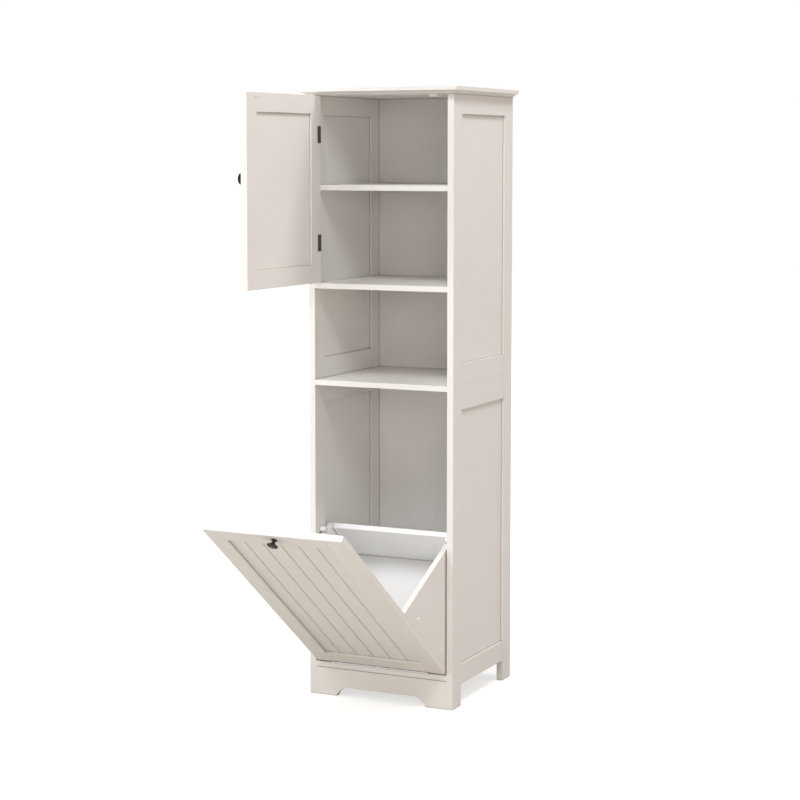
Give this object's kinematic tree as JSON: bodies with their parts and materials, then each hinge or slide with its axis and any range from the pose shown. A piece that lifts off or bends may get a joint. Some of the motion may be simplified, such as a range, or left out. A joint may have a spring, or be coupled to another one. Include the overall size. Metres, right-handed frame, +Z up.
{
  "type": "tilt-out laundry sorter cabinet",
  "caption": "Tall white cabinet with a hinged door over shelves, an open niche and a tilt-out laundry hamper with a grooved front.",
  "frame": {"origin": "on the floor, at the centre of the cabinet's own footprint (440 by 412 mm, without door, hamper and top overhang)", "axes": "+Z up, +X to the right seen from the front, -Y towards the front"},
  "size_m": [0.478, 1.0354, 1.7],
  "materials": {
    "white_paint": "satin white painted fibreboard",
    "white_hardboard": "white faced thin board",
    "beech": "raw beech",
    "white_plastic": "moulded white plastic",
    "black_knob": "satin black",
    "dark_hinge": "dark bronze plated",
    "plated_steel": "bright zinc plated"
  },
  "bodies": {
    "cabinet": {"left_upper_front_stile": "white_paint", "left_upper_rear_stile": "white_paint", "left_upper_top_rail": "white_paint", "left_upper_bottom_rail": "white_paint", "left_upper_panel": "white_paint", "left_lower_front_stile": "white_paint", "left_lower_rear_stile": "white_paint", "left_lower_top_rail": "white_paint", "left_lower_bottom_rail": "white_paint", "left_lower_panel": "white_paint", "right_upper_front_stile": "white_paint", "right_upper_rear_stile": "white_paint", "right_upper_top_rail": "white_paint", "right_upper_bottom_rail": "white_paint", "right_upper_panel": "white_paint", "right_lower_front_stile": "white_paint", "right_lower_rear_stile": "white_paint", "right_lower_top_rail": "white_paint", "right_lower_bottom_rail": "white_paint", "right_lower_panel": "white_paint", "top_board": "white_paint", "upper_back_panel": "white_hardboard", "lower_back_panel": "white_hardboard", "adjustable_shelf": "white_paint", "shelf_pins": "plated_steel", "fixed_shelf": "white_paint", "middle_shelf": "white_paint", "bottom_board": "white_paint", "front_apron": "white_paint", "dowels": "beech", "cam_fittings": "plated_steel", "cabinet_screws": "plated_steel", "magnetic_catch": "white_plastic", "stop_pegs": "white_plastic", "hinge_frame_leaves": "dark_hinge", "hinge_pins": "dark_hinge", "hamper_hinge_fixed_leaf": "plated_steel", "hamper_hinge_pin": "plated_steel"},
    "door": {"door_hinge_stile": "white_paint", "door_lock_stile": "white_paint", "door_top_rail": "white_paint", "door_bottom_rail": "white_paint", "door_panel": "white_paint", "door_knob": "black_knob", "door_hinge_leaves": "dark_hinge", "door_screws": "dark_hinge", "door_strike_plate": "plated_steel"},
    "hamper": {"hamper_left_stile": "white_paint", "hamper_right_stile": "white_paint", "hamper_top_rail": "white_paint", "hamper_bottom_rail": "white_paint", "hamper_bead_panel": "white_paint", "hamper_left_side": "white_paint", "hamper_right_side": "white_paint", "hamper_back": "white_paint", "hamper_floor": "white_paint", "hamper_hinge_moving_leaf": "plated_steel", "hamper_knob": "black_knob", "hamper_cam_caps": "white_plastic", "hamper_screws": "plated_steel"}
  },
  "joints": [
    {"name": "door_swing", "type": "hinge", "parent": "cabinet", "child": "door", "pos_m": [-0.2007, -0.2092, 1.4225], "axis": [0, 0, -1], "range_deg": [-90.7, 89.3]},
    {"name": "hamper_tilt", "type": "hinge", "parent": "cabinet", "child": "hamper", "pos_m": [0, -0.2083, 0.097], "axis": [-1, 0, 0], "range_deg": [0, 52.5]}
  ]
}
